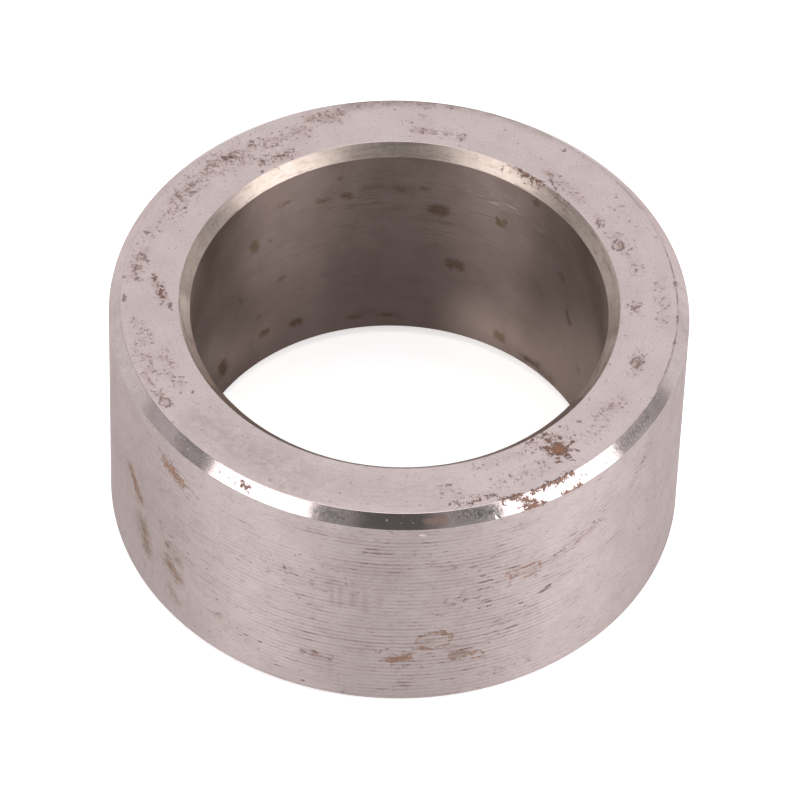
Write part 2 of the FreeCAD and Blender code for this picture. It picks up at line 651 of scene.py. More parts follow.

# Soft dark smudges, and broad painted shade over the wall's left side and the face's front
SMUDGES_AND_PAINTED_SHADE = {
    "face": [
        ([(104, 23.6), (96, 23.8), (84, 23.9)], 0.9, 1.0),
        ([(84, 23.9), (58, 23.9)], 0.7, 0.7),
        ([(58, 23.9), (30, 24.0)], 0.4, 0.4),
        # Painted shade in a broad band over the face's front
        ([(-138, 21.4), (-112, 21.4)], 3.4, 0.5),
        ([(-112, 21.4), (-80, 21.6)], 3.2, 0.34),
    ],
    "wall": [
        # Painted shade over the wall's left side
        ([(-172, 12), (-151, 12)], 14.0, 0.34),
        ([(-101.5, 15.8), (-101.5, 12.8)], 0.35, 0.65),
        ([(-99.5, 15.6), (-99.5, 12.4)], 0.35, 0.6),
        ([(-97, 15.8), (-97, 12.8)], 0.4, 0.75),
        ([(-94.5, 15.2), (-94.5, 12.2)], 0.35, 0.6),
        ([(-92, 15.4), (-92, 12.8)], 0.35, 0.5),
        ([(-98, 17.0), (-90, 17.5)], 3.0, 0.3),
    ],
    "outer_chamfer": [
        ([(-138.5, 0.15), (-131, 0.25)], 0.45, 1.0),
        ([(-136, 0.8), (-131, 0.8)], 0.5, 0.6),
        ([(-105, 0.5), (-100, 0.5)], 0.8, 0.8),
        ([(-76.5, 0.3), (-69, 0.5)], 0.8, 1.0),
        ([(-41, 0.5), (-29, 0.4)], 0.8, 0.8),
    ],
    "bore_chamfer": [
        ([(154, 0.3), (148, 0.6)], 0.7, 0.55),
        ([(104, 0.3), (82, 0.3)], 0.6, 0.5),
    ],
    "bore": [
        ([(101, 19.2), (88, 19.0)], 0.8, 0.55),
        ([(104, 2.6), (98, 2.9)], 0.7, 0.8),
        ([(96, 2.4), (90, 2.4)], 0.6, 0.6),
        ([(88, 4.9), (81, 4.9)], 0.5, 0.5),
        ([(52, 1.5), (40, 1.6)], 0.8, 0.8),
        ([(160, 5.5), (153, 3.5)], 1.2, 0.7),
    ],
}

# Where the bore has bright scratches that run round it
SCRATCHES = {
    "bore": [
        ([(70, 20.6), (60, 19.4)], 1.0, 1.0),
        ([(60, 20.6), (48, 19.6)], 0.9, 1.0),
        ([(128, 12.0), (118, 13.5)], 1.6, 0.22),
        ([(64, 6.0), (52, 6.5)], 1.4, 0.22),
    ],
}

# Painted light: a lighter tone painted low at the bore's sides and at the ends of its chamfer, as a
# painted reflection
PAINTED_LIGHT = {
    "bore": [
        ([(16, 11.0), (28, 7.5), (38, 4.0), (44, 2.0)], 8.0, 1.1),
        ([(44, 2.0), (54, 3.5), (62, 3.0)], 7.0, 0.82),
        ([(48, 8.0), (56, 8.0)], 4.5, 0.5),
        ([(156, 8.5), (150, 6.0), (145, 5.0)], 5.0, 0.55),
        ([(145, 5.0), (133, 4.5)], 4.5, 0.32),
    ],
    "bore_chamfer": [
        ([(-178, 0.5), (-150, 0.5)], 1.6, 1.2),
        ([(-30, 0.5), (-12, 0.5)], 1.6, 1.2),
    ],
}

# Fresh bright nicks
NICKS = {
    "outer_chamfer": [
        ([(-69, 1.0)], 0.22, 1.0),
        ([(-73.6, 0.05)], 0.18, 0.8),
    ],
    "wall": [
        ([(-84.4, 22.3), (-83.2, 22.2)], 0.35, 0.75),
    ],
    "bore_chamfer": [
        ([(35, 0.2)], 0.25, 0.8),
        ([(28, 0.1)], 0.22, 0.8),
        ([(78.5, 0.6)], 0.25, 0.7),
        ([(104, 0.3)], 0.25, 0.7),
    ],
}


def surface_point(surface, azimuth, place):
    """The point of the ring at an azimuth and a place on one of its surfaces."""
    if surface == "face":
        radius, height = place * MM, top
    elif surface == "bottom":
        radius, height = place * MM, bottom
    elif surface == "wall":
        radius, height = outer_radius, place * MM
    elif surface == "bore":
        radius, height = bore_radius, place * MM
    elif surface == "outer_chamfer":
        radius = face_outer + (outer_radius - face_outer) * place
        height = top + (outer_high - top) * place
    else:
        radius = face_inner + (bore_radius - face_inner) * place
        height = top + (bore_high - top) * place
    a = math.radians(azimuth)
    return Vector((radius * math.cos(a), radius * math.sin(a), height))


def walk(surface, points, stride):
    """Points along a stroke, a stride apart or less."""
    found = [surface_point(surface, *points[0])]
    for start, end in zip(points, points[1:]):
        length = (surface_point(surface, *end) - surface_point(surface, *start)).length
        steps = max(1, math.ceil(length / stride))
        for step in range(1, steps + 1):
            share = step / steps
            azimuth = start[0] + (end[0] - start[0]) * share
            place = start[1] + (end[1] - start[1]) * share
            found.append(surface_point(surface, azimuth, place))
    return found


def paint(piece, nearby, name, kind):
    """A point attribute with each stroke's strength along its middle, fading to 0 at its side."""
    values = [0.0] * len(piece.data.vertices)
    strokes = [(surface, *stroke) for surface in kind for stroke in kind[surface]]
    for surface, points, half_width, strength in strokes:
        reach = half_width * MM
        for point in walk(surface, points, reach / 2):
            for _, index, distance in nearby.find_range(point, reach):
                values[index] = max(values[index], strength * (1 - distance / reach))
    layer = piece.data.attributes.new(name, "FLOAT", "POINT")
    layer.data.foreach_set("value", values)


def paint_blemishes(piece):
    """Every kind of blemish as an attribute of its own."""
    nearby = KDTree(len(piece.data.vertices))
    for vertex in piece.data.vertices:
        nearby.insert(vertex.co, vertex.index)
    nearby.balance()
    kinds = {
        "rust": RUST,
        "stain": STAINS,
        "pitting": PITTING,
        "dark_mark": DARK_MARKS,
        "groove_dirt": GROOVE_DIRT_AND_SHADE,
        "rim_line": RIM_LINE,
        "smudge": SMUDGES_AND_PAINTED_SHADE,
        "scratch": SCRATCHES,
        "clean": PAINTED_LIGHT,
        "nick": NICKS,
    }
    for name, kind in kinds.items():
        paint(piece, nearby, name, kind)


# Effects that the finishes share

# A vector input before it is fed, and the shift that takes a second noise from another place
ORIGIN = (0, 0, 0)
ELSEWHERE = (31.0, 17.0, 5.0)


def make_place_group():
    """Where a point lies on the ring in millimetres, and vectors for marks that run round it.

    Round is drawn out a lot, for tool marks, and Drawn a little, for pits and dirt along them.
    """
    tree, given, taken = new_group(
        "place on the ring",
        {"Faced": 0.0},
        values=("Radius", "Height"),
        vectors=("Position", "Round", "Drawn", "Tangent"),
    )
    spot = add(tree, "ShaderNodeTexCoord").outputs["Object"]
    scaled = add(tree, "ShaderNodeVectorMath", spot, operation="SCALE")
    scaled.inputs["Scale"].default_value = 1 / MM
    position = scaled.outputs[0]
    parts = add(tree, "ShaderNodeSeparateXYZ", position).outputs
    flat = add(tree, "ShaderNodeCombineXYZ", parts["X"], parts["Y"], 0.0).outputs[0]
    radius = add(tree, "ShaderNodeVectorMath", flat, operation="LENGTH").outputs["Value"]
    to_face = times(tree, given["Faced"], calc(tree, "SUBTRACT", radius, parts["Z"]))
    across = calc(tree, "ADD", parts["Z"], to_face)
    for name, share in (("Round", 0.08), ("Drawn", 0.35)):
        slow = [times(tree, parts[axis], share) for axis in ("X", "Y")]
        feed(taken[name], add(tree, "ShaderNodeCombineXYZ", *slow, across).outputs[0])
    tangent = add(tree, "ShaderNodeVectorMath", (0, 0, 1), flat, operation="CROSS_PRODUCT")
    feed(taken["Position"], position)
    feed(taken["Radius"], radius)
    feed(taken["Height"], parts["Z"])
    feed(taken["Tangent"], tangent.outputs[0])
    return tree


def make_tool_mark_group():
    """Fine uneven lines round the ring: a height for the bump, and dark where they are deep."""
    tree, given, taken = new_group(
        "tool marks",
        {"Round": ORIGIN, "Lines per mm": 2.0, "Patchiness": 0.5},
        values=("Height", "Dark"),
    )
    lines = noise(tree, given["Round"], given["Lines per mm"], 3.0, 0.65)
    patches = noise(tree, given["Round"], 0.45, 2.0)
    faintest = calc(tree, "SUBTRACT", 1.0, given["Patchiness"])
    strength = soft_step(tree, patches, 0.35, 0.65, faintest, 1.0)
    dark = soft_step(tree, lines, 0.5, 0.32)
    feed(taken["Height"], times(tree, calc(tree, "SUBTRACT", lines, 0.5), strength))
    feed(taken["Dark"], times(tree, dark, strength))
    return tree


def make_groove_group():
    """The even grooves that the feed of the tool leaves: dark lines in them, part dirt and part
    painted shade, and dashes of dirt.
    """
    tree, given, taken = new_group(
        "feed grooves",
        {"Across": 0.0, "Drawn": ORIGIN, "First groove": 0.0, "Pitch": 0.5, "Dirt": 0.5},
        values=("Dark", "Dash", "Line"),
    )
    from_first = calc(tree, "SUBTRACT", given["Across"], given["First groove"])
    turns = calc(tree, "DIVIDE", from_first, given["Pitch"])
    from_middle = distance_from(tree, calc(tree, "FRACT", turns), 0.5)
    line = soft_step(tree, from_middle, 0.34, 0.06)
    breaks = noise(tree, given["Drawn"], 1.1, 3.0, 0.6)
    broken = soft_step(tree, breaks, 0.32, 0.6, 0.25, 1.0)
    own = add(tree, "ShaderNodeTexWhiteNoise", noise_dimensions="1D")
    feed(own.inputs["W"], calc(tree, "FLOOR", turns))
    uneven = soft_step(tree, own.outputs["Value"], 0.0, 1.0, 0.45, 1.1)
    dark = times(tree, line, times(tree, broken, uneven))
    dashes = soft_step(tree, total(tree, breaks, (given["Dirt"], 0.06)), 0.66, 0.74)
    feed(taken["Line"], line)
    feed(taken["Dark"], times(tree, dark, given["Dirt"]))
    feed(taken["Dash"], times(tree, dashes, line))
    return tree


def make_ragged_group():
    """A painted nearness made ragged: its whole patch, and the core of it."""
    tree, given, taken = new_group(
        "ragged patch",
        {
            "Nearness": 0.0,
            "Position": ORIGIN,
            "Grain per mm": 1.5,
            "Raggedness": 0.8,
            "Softness": 0.15,
        },
        values=("Patch", "Core"),
    )
    grain = noise(tree, given["Position"], given["Grain per mm"], 5.0, 0.75, 0.6)
    shift = times(tree, calc(tree, "SUBTRACT", grain, 0.5), given["Raggedness"])
    there = soft_step(tree, given["Nearness"], 0.0, 0.12)
    field = times(tree, calc(tree, "ADD", given["Nearness"], shift), there)
    patch = soft_step(tree, field, 0.3, calc(tree, "ADD", 0.3, given["Softness"]))
    feed(taken["Patch"], patch)
    feed(taken["Core"], soft_step(tree, field, 0.45, 0.8))
    return tree


def make_pit_group():
    """Small pits and squiggles, as close together as the zone is strong."""
    tree, given, taken = new_group(
        "pits", {"Zone": 0.0, "Position": ORIGIN, "Grain per mm": 1.5}, values=("Mask",)
    )
    place, grain, zone = given["Position"], given["Grain per mm"], given["Zone"]
    lines = noise(tree, place, grain, 2.0, 0.6)
    squiggle = soft_step(tree, distance_from(tree, lines, 0.5), 0.07, 0.01)
    shifted = add(tree, "ShaderNodeVectorMath", place, ELSEWHERE, operation="ADD").outputs[0]
    spread = noise(tree, shifted, times(tree, grain, 0.9), 2.0, 0.6)
    keep = soft_step(tree, total(tree, spread, (zone, 0.25)), 0.62, 0.76)
    blobs = noise(tree, shifted, times(tree, grain, 1.9), 2.0, 0.6)
    blob = soft_step(tree, total(tree, blobs, (zone, 0.12)), 0.72, 0.84)
    feed(taken["Mask"], calc(tree, "MAXIMUM", times(tree, squiggle, keep), blob))
    return tree


place_group = make_place_group()
tool_mark_group = make_tool_mark_group()
groove_group = make_groove_group()
ragged_group = make_ragged_group()
pit_group = make_pit_group()

# The finishes

# Bare steel: a tone, and a deeper one that clouds it
WALL_STEEL = (0.585, 0.503, 0.50), (0.535, 0.457, 0.452)
FACE_STEEL = (0.595, 0.503, 0.503), (0.55, 0.463, 0.463)
BORE_STEEL = (0.35, 0.27, 0.245), (0.295, 0.225, 0.203)
OUTER_CHAMFER_STEEL = (0.56, 0.478, 0.473), (0.51, 0.433, 0.428)
BORE_CHAMFER_STEEL = (0.475, 0.395, 0.352), (0.42, 0.345, 0.305)
# Lighter tones for the painted light, a painted reflection in the bore and on its chamfer
BORE_PAINTED_LIGHT = (0.45, 0.345, 0.305)
CHAMFER_PAINTED_LIGHT = (0.74, 0.63, 0.57)

# How bare steel tints what it mirrors at a grazing angle
WALL_GRAZING = (0.58, 0.54, 0.54, 1)
FACE_GRAZING = (0.72, 0.66, 0.66, 1)
BORE_GRAZING = (1, 0.95, 0.92, 1)
OUTER_CHAMFER_GRAZING = (0.66, 0.60, 0.60, 1)
BORE_CHAMFER_GRAZING = (1.0, 0.9, 0.85, 1)

# Rust, and the stains that multiply the steel under them
RUST_LIGHT = (0.27, 0.10, 0.032)
RUST_THIN = (0.40, 0.175, 0.06)
RUST_DARK = (0.105, 0.045, 0.03)
BLOOM = (0.40, 0.265, 0.24)
STAIN = (0.62, 0.545, 0.42)
OLIVE_STAIN = (0.59, 0.54, 0.40)
BROWN_STAIN = (0.72, 0.54, 0.46)

# Pits, dirt and smudges, with painted shade in some of them: along the grooves, in broad smudges on
# the wall and face, and low in the bore
PIT = (0.15, 0.085, 0.068)
DIRT_AND_SHADE = (0.30, 0.22, 0.20)
FACE_DIRT_AND_SHADE = (0.30, 0.23, 0.22)
BORE_DIRT = (0.12, 0.085, 0.075)
CHAMFER_DIRT = (0.26, 0.19, 0.165)
WALL_SMUDGE_AND_SHADE = (0.36, 0.28, 0.26)
FACE_SMUDGE_AND_SHADE = (0.33, 0.27, 0.25)
CHAMFER_SMUDGE = (0.17, 0.165, 0.17)
RIM_DIRT = (0.22, 0.16, 0.15)
BORE_PAINTED_SHADE = (0.115, 0.08, 0.073)

# Bare metal where it is scratched or nicked
SCRATCHED = (0.7, 0.62, 0.56)
WALL_NICK = (0.85, 0.78, 0.76)
CHAMFER_NICK = (0.9, 0.86, 0.83)

# Turns the streaks of anisotropic steel from across the tangent to along it
QUARTER_TURN = 0.25

# How far up or down a face's normal points, from 0 to 1, where it is an end or a chamfer
END_TILT = 0.95
CHAMFER_TILT = 0.4

# The thin dark line at the face's rim, in millimetres
RIM_LINE_RADIUS = 23.91
RIM_LINE_SIDE = 0.02
RIM_LINE_FADE = 0.09

# The heights in the bore, in millimetres, between which painted shade makes its steel darker
# downwards
BORE_SHADE_LOW = 4.0
BORE_SHADE_HIGH = 24.0


def painted(tree, name):
    """The value of one of the ring's own attributes."""
    return add(tree, "ShaderNodeAttribute", attribute_name=name).outputs["Fac"]


def ragged(tree, name, position, grain, raggedness, softness=0.15, lined=1.0):
    """One kind of blemish with ragged edges, its grain in lumps per millimetre.

    lined is how much of it shows, for one that gathers in the grooves.
    """
    return use_group(
        tree,
        ragged_group,
        Nearness=times(tree, painted(tree, name), lined),
        Position=position,
        Grain_per_mm=grain,
        Raggedness=raggedness,
        Softness=softness,
    )


def tool_marks(tree, place, lines, patchiness):
    """Fine lines round the ring, so many to a millimetre."""
    return use_group(
        tree, tool_mark_group, Round=place["Round"], Lines_per_mm=lines, Patchiness=patchiness
    )


def covers(tree, rust, rust_amount, mark, position, pit_grain):
    """What hides the steel: the rust, the pits with the single dark marks, and all of them."""
    zone = painted(tree, "pitting")
    pits = use_group(tree, pit_group, Zone=zone, Position=position, Grain_per_mm=pit_grain)["Mask"]
    body = times(tree, rust["Patch"], rust_amount)
    dark = calc(tree, "MAXIMUM", pits, mark["Patch"])
    return body, dark, calc(tree, "MAXIMUM", body, dark)


def new_material(name):
    """A new material and its empty tree."""
    material = bpy.data.materials.new(name)
    material.use_nodes = True
    tree = material.node_tree
    tree.nodes.clear()
    return material, tree


def steel_shader(tree, place, colour, metal, roughness, height, streaky, grazing):
    """Bare steel: streaky is how much more it scatters across its tool marks than along them."""
    bump = add(tree, "ShaderNodeBump")
    feed(bump.inputs["Strength"], 1.0)
    feed(bump.inputs["Distance"], MM)
    feed(bump.inputs["Height"], height)
    shader = add(tree, "ShaderNodeBsdfPrincipled")
    settings = {
        "Base Color": colour,
        "Metallic": metal,
        "Roughness": roughness,
        "Normal": bump.outputs[0],
        "Tangent": place["Tangent"],
        "Anisotropic": streaky,
        "Anisotropic Rotation": QUARTER_TURN,
        "Specular Tint": grazing,
    }
    for name, value in settings.items():
        feed(shader.inputs[name], value)
    output = add(tree, "ShaderNodeOutputMaterial")
    feed(output.inputs["Surface"], shader.outputs[0])


def mottled(tree, position, tones, scale):
    """A steel tone with soft clouds of a deeper one."""
    clouds = soft_step(tree, noise(tree, position, scale, 4.0, 0.6), 0.35, 0.68)
    return blend_colour(tree, clouds, *tones)


def grainy(tree, position, colour, amount, scale=5.0):
    """A fine grain of darker specks."""
    grain = noise(tree, position, scale, 3.0, 0.7)
    return laid_over(tree, colour, DIRT_AND_SHADE, soft_step(tree, grain, 0.5, 0.3), amount)


def with_painted_light(tree, colour, tone):
    """A colour with a lighter tone where light is painted on, as a painted reflection."""
    return blend_colour(tree, soft_step(tree, painted(tree, "clean"), 0.0, 1.0), colour, tone)


def bloomed(tree, position, colour):
    """A colour with a faint brown bloom where the surface is pitted."""
    cloudy = soft_step(tree, noise(tree, position, 1.3, 3.0, 0.6), 0.38, 0.62)
    pitted = soft_step(tree, painted(tree, "pitting"), 0.05, 0.9)
    return laid_over(tree, colour, BLOOM, times(tree, pitted, cloudy), 0.5)


def smudged_and_shaded(tree, position, colour, tone, scale=1.6, edges=(0.3, 0.6), least=0.3):
    """A colour with the smudge attribute over it, real smudges and in places painted shade, cloudy
    or, with edges close together, speckled.
    """
    cloudy = soft_step(tree, noise(tree, position, scale, 3.0, 0.6), *edges, least, 1.0)
    return laid_over(tree, colour, tone, painted(tree, "smudge"), cloudy)


def rusted(tree, position, colour, rust, amount, rim=0.15, light=RUST_LIGHT):
    """A colour with rust over it: light in the core of a patch, dark at its rim and in grains."""
    grain = soft_step(tree, noise(tree, position, 4.0, 4.0, 0.7), 0.35, 0.6)
    bright = times(tree, grain, total(tree, rim, (rust["Core"], 1 - rim)))
    return blend_colour(tree, amount, colour, blend_colour(tree, bright, RUST_DARK, light))


def bare_metal(tree, cover, amount):
    """How metallic the surface is under a cover of rust and pits that hides so much of it."""
    return calc(tree, "SUBTRACT", 1.0, times(tree, cover, amount))


def turned_outside_finish():
    """The outside: matt, with dirt in its grooves, ring-shaped rust spots and grey stains."""
    material, tree = new_material("turned outside")
    place = use_group(tree, place_group, Faced=0.0)
    position, drawn = place["Position"], place["Drawn"]
    marks = tool_marks(tree, place, 3.0, 0.85)
    grooves = use_group(
        tree,
        groove_group,
        Across=place["Height"],
        Drawn=drawn,
        First_groove=groove_low / MM,
        Pitch=groove_pitch / MM,
        Dirt=painted(tree, "groove_dirt"),
    )
    rust_lined = total(tree, 0.85, (grooves["Line"], 0.25))
    mark_lined = total(tree, 0.72, (grooves["Line"], 0.5))
    rust = ragged(tree, "rust", position, 2.4, 1.6, 0.35, rust_lined)
    stain = ragged(tree, "stain", position, 1.5, 1.5, 0.7)
    mark = ragged(tree, "dark_mark", drawn, 3.6, 1.9, 0.3, mark_lined)
    nick = soft_step(tree, painted(tree, "nick"), 0.3, 0.7)
    body, dark, cover = covers(tree, rust, 0.7, mark, drawn, 3.0)
    colour = mottled(tree, position, WALL_STEEL, 0.35)
    colour = grainy(tree, drawn, colour, 0.35)
    colour = bloomed(tree, position, colour)
    # Smudges, and painted shade over the left side of the wall
    colour = smudged_and_shaded(tree, position, colour, WALL_SMUDGE_AND_SHADE)
    colour = laid_over(tree, colour, DIRT_AND_SHADE, marks["Dark"], 0.18)
    # Dirt and painted shade along the feed grooves
    colour = laid_over(tree, colour, DIRT_AND_SHADE, grooves["Dark"], 0.58)
    colour = laid_over(tree, colour, PIT, grooves["Dash"], 0.55)
    colour = laid_over(tree, colour, STAIN, stain["Patch"], 0.75, "MULTIPLY")
    colour = rusted(tree, position, colour, rust, body, 0.8, RUST_THIN)
    colour = laid_over(tree, colour, PIT, dark, 0.75)
    colour = blend_colour(tree, nick, colour, WALL_NICK)
    roughness = total(tree, 0.47, (cover, 0.3), (noise(tree, position, 1.5, 3.0), 0.1))
    height = total(
        tree, (marks["Height"], 0.012), (dark, -0.03), (rust["Patch"], 0.012), (nick, -0.05)
    )
    metal = bare_metal(tree, cover, 0.85)
    steel_shader(tree, place, colour, metal, roughness, height, 0.85, WALL_GRAZING)
    return material


def faced_end_finish():
    """The end faces: matt, with faint rings, small pits, some rust and a thin line at the rim."""
    material, tree = new_material("faced end")
    place = use_group(tree, place_group, Faced=1.0)
    position = place["Position"]
    marks = tool_marks(tree, place, 5.0, 0.7)
    rust = ragged(tree, "rust", position, 2.6, 2.1)
    stain = ragged(tree, "stain", position, 1.6, 1.4, 0.7)
    mark = ragged(tree, "dark_mark", position, 3.6, 1.7)
    body, dark, cover = covers(tree, rust, 0.9, mark, position, 2.5)
    lined = times(tree, marks["Dark"], total(tree, 0.12, (painted(tree, "groove_dirt"), 0.25)))
    from_line = distance_from(tree, place["Radius"], RIM_LINE_RADIUS)
    at_line = soft_step(tree, from_line, RIM_LINE_FADE, RIM_LINE_SIDE)
    rim_line = times(tree, at_line, painted(tree, "rim_line"))
    breaks = soft_step(tree, noise(tree, position, 0.9, 3.0, 0.6), 0.36, 0.6, 0.1, 0.8)
    colour = mottled(tree, position, FACE_STEEL, 0.3)
    colour = grainy(tree, position, colour, 0.4, 6.0)
    colour = bloomed(tree, position, colour)
    # Smudges, and painted shade over the front of the face
    colour = smudged_and_shaded(tree, position, colour, FACE_SMUDGE_AND_SHADE)
    # Dirt and painted shade in the face's tool marks, most at its front
    colour = blend_colour(tree, lined, colour, FACE_DIRT_AND_SHADE)
    colour = laid_over(tree, colour, RIM_DIRT, rim_line, breaks)
    colour = laid_over(tree, colour, STAIN, stain["Patch"], 0.7, "MULTIPLY")
    colour = rusted(tree, position, colour, rust, body)
    colour = laid_over(tree, colour, PIT, dark, 0.75)
    roughness = total(tree, 0.38, (cover, 0.3), (noise(tree, position, 1.2, 3.0), 0.1))
    height = total(tree, (marks["Height"], 0.006), (dark, -0.03), (rust["Patch"], 0.012))
    metal = bare_metal(tree, cover, 0.85)
    steel_shader(tree, place, colour, metal, roughness, height, 0.1, FACE_GRAZING)
    return material


def bored_inside_finish():
    """The bore: smoother and darker, with olive oil stains and fine lines that run round it."""
    material, tree = new_material("bored inside")
    place = use_group(tree, place_group, Faced=0.0)
    position, drawn = place["Position"], place["Drawn"]
    marks = tool_marks(tree, place, 4.5, 0.8)
    stain = ragged(tree, "stain", position, 1.4, 0.8, 0.42)
    thin_lines = soft_step(tree, noise(tree, place["Round"], 7.0, 1.0), 0.6, 0.66)
    scratch = times(tree, thin_lines, soft_step(tree, painted(tree, "scratch"), 0.1, 0.5))
    lined = times(tree, marks["Dark"], total(tree, 0.2, (painted(tree, "groove_dirt"), 0.4)))
    low = soft_step(tree, place["Height"], BORE_SHADE_LOW, BORE_SHADE_HIGH, 0.68, 0.0)
    colour = mottled(tree, position, BORE_STEEL, 0.3)
    colour = grainy(tree, drawn, colour, 0.3)
    # Painted shade: the bore's steel darker towards its bottom
    colour = blend_colour(tree, low, colour, BORE_PAINTED_SHADE)
    # Painted light: a lighter tone low at the bore's sides, a painted reflection
    colour = with_painted_light(tree, colour, BORE_PAINTED_LIGHT)
    colour = smudged_and_shaded(tree, drawn, colour, BORE_DIRT)
    colour = blend_colour(tree, lined, colour, BORE_DIRT)
    colour = laid_over(tree, colour, OLIVE_STAIN, stain["Patch"], 0.9, "MULTIPLY")
    colour = laid_over(tree, colour, SCRATCHED, scratch, 0.4)
    roughness = total(tree, 0.37, (stain["Patch"], 0.08), (noise(tree, position, 1.2, 3.0), 0.06))
    height = total(tree, (marks["Height"], 0.006), (stain["Patch"], -0.004))
    steel_shader(tree, place, colour, 1.0, roughness, height, 1.0, BORE_GRAZING)
    return material


def bright_chamfer_finish(name, steel, smooth, lined, grazing):
    """A chamfer: nearly bright, a little uneven, with rust that has crept in from its edges.

    Smooth is its roughness where nothing covers it, and lined how much its tool marks show.
    """
    material, tree = new_material(name)
    place = use_group(tree, place_group, Faced=1.0)
    position = place["Position"]
    marks = tool_marks(tree, place, 4.5, 0.4)
    rust = ragged(tree, "rust", position, 2.8, 2.3)
    stain = ragged(tree, "stain", position, 2.0, 0.9, 0.5)
    mark = ragged(tree, "dark_mark", position, 3.6, 1.7)
    nick = soft_step(tree, painted(tree, "nick"), 0.25, 0.6)
    body, dark, cover = covers(tree, rust, 0.85, mark, position, 2.6)
    colour = mottled(tree, position, steel, 0.8)
    colour = grainy(tree, position, colour, 0.25, 4.5)
    # Painted light: a lighter tone at the ends of the bore chamfer, a painted reflection
    colour = with_painted_light(tree, colour, CHAMFER_PAINTED_LIGHT)
    colour = laid_over(tree, colour, CHAMFER_DIRT, marks["Dark"], lined)
    colour = smudged_and_shaded(
        tree, position, colour, CHAMFER_SMUDGE, scale=4.0, edges=(0.43, 0.55), least=0.12
    )
    colour = laid_over(tree, colour, BROWN_STAIN, stain["Patch"], 0.8, "MULTIPLY")
    colour = rusted(tree, position, colour, rust, body, 0.3)
    colour = laid_over(tree, colour, PIT, dark, 0.6)
    colour = blend_colour(tree, nick, colour, CHAMFER_NICK)
    rougher = total(tree, (cover, 0.4), (stain["Patch"], 0.22))
    roughness = total(tree, smooth, rougher, (noise(tree, place["Round"], 2.0, 3.0), 0.1))
    dents = noise(tree, position, 3.5, 3.0, 0.65)
    uneven = total(tree, (dents, 0.0022), (marks["Height"], lined * 0.006))
    height = total(tree, uneven, (rust["Patch"], 0.004), (nick, -0.03))
    metal = bare_metal(tree, cover, 0.9)
    steel_shader(tree, place, colour, metal, roughness, height, 0.3, grazing)
    return material


def give_finishes(piece):
    """Each finish given to the faces that point its way."""
    finishes = [
        turned_outside_finish(),
        faced_end_finish(),
        bored_inside_finish(),
        bright_chamfer_finish(
            "outer chamfer",
            OUTER_CHAMFER_STEEL,
            smooth=0.08,
            lined=0.1,
            grazing=OUTER_CHAMFER_GRAZING,
        ),
        bright_chamfer_finish(
            "bore chamfer",
            BORE_CHAMFER_STEEL,
            smooth=0.3,
            lined=0.7,
            grazing=BORE_CHAMFER_GRAZING,
        ),
    ]
    for finish in finishes:
        piece.data.materials.append(finish)
    outside, end, inside, outer_chamfer, bore_chamfer = range(len(finishes))
    middle_radius = (face_outer + face_inner) / 2
    for face in piece.data.polygons:
        outer = math.hypot(face.center.x, face.center.y) > middle_radius
        tilt = abs(face.normal.z)
        if tilt > END_TILT:
            face.material_index = end
        elif tilt > CHAMFER_TILT:
            face.material_index = outer_chamfer if outer else bore_chamfer
        else:
            face.material_index = outside if outer else inside


# The studio and the camera

# The camera as fitted to the photograph: its aim point on the ring's axis lies at AIM_PX
CAMERA_ELEVATION = math.radians(48.45)
CAMERA_ROLL = math.radians(1.967)
PICTURE_SIDE = 800
FOCAL_LENGTH_PX = 6738.9
AIM_PX = (396.47, 394.38)
AIM_HEIGHT = 11.95 * MM
CAMERA_DISTANCE = 588.0 * MM
SENSOR = 36.0
CLIP_START = 10 * MM
CLIP_END = 20.0

# The floor, a hair below the ring, and how much it glows where it is seen and where it is mirrored
FLOOR_GAP = 0.02 * MM
FLOOR_SIDE = 4.0
FLOOR_TONE = (0.86, 0.86, 0.86, 1)
FLOOR_GLOW = 0.6
MIRRORED_FLOOR_GLOW = 0.25
WHITE = (1, 1, 1, 1)

# The light of the surroundings, and the stretches of them that are darker or, with a depth below
# 0, lighter. Each has its middle azimuth, how far to the sides it is full and where it ends, in
# degrees, its depth, and the band of elevations that it lies in.
SURROUNDINGS = 0.9
STRETCHES = [
    (-84.5, 102.0, 105.0, 0.42, "below the top"),
    (-89.0, 10.0, 20.0, 0.32, "below the top"),
    (156.0, 10.0, 30.0, 0.55, "raised"),
    (31.0, 6.0, 16.0, 0.5, "raised"),
    (1.0, 5.0, 14.0, -0.24, "low"),
    (30.0, 6.0, 10.0, -0.16, "low"),
    (153.0, 9.0, 16.0, -0.1, "low"),
    (180.0, 4.0, 12.0, -0.2, "low"),
]


def photo_camera():
    """The camera at the photograph's viewing angle."""
    data = bpy.data.cameras.new("camera")
    data.sensor_width = SENSOR
    data.lens = FOCAL_LENGTH_PX / PICTURE_SIDE * SENSOR
    data.clip_start = CLIP_START
    data.clip_end = CLIP_END
    camera = bpy.data.objects.new("camera", data)
    bpy.context.collection.objects.link(camera)
    forward = Vector((0, math.cos(CAMERA_ELEVATION), -math.sin(CAMERA_ELEVATION)))
    level = Vector((1, 0, 0))
    rise = level.cross(forward)
    right = level * math.cos(CAMERA_ROLL) + rise * math.sin(CAMERA_ROLL)
    up = rise * math.cos(CAMERA_ROLL) - level * math.sin(CAMERA_ROLL)
    per_px = CAMERA_DISTANCE / FOCAL_LENGTH_PX
    middle = PICTURE_SIDE / 2
    aside = (AIM_PX[0] - middle) * per_px
    above = (middle - AIM_PX[1]) * per_px
    eye = Vector((0, 0, AIM_HEIGHT)) - right * aside - up * above - forward * CAMERA_DISTANCE
    turn = Matrix((right, up, -forward)).transposed()
    camera.matrix_world = Matrix.Translation(eye) @ turn.to_4x4()
    bpy.context.scene.camera = camera


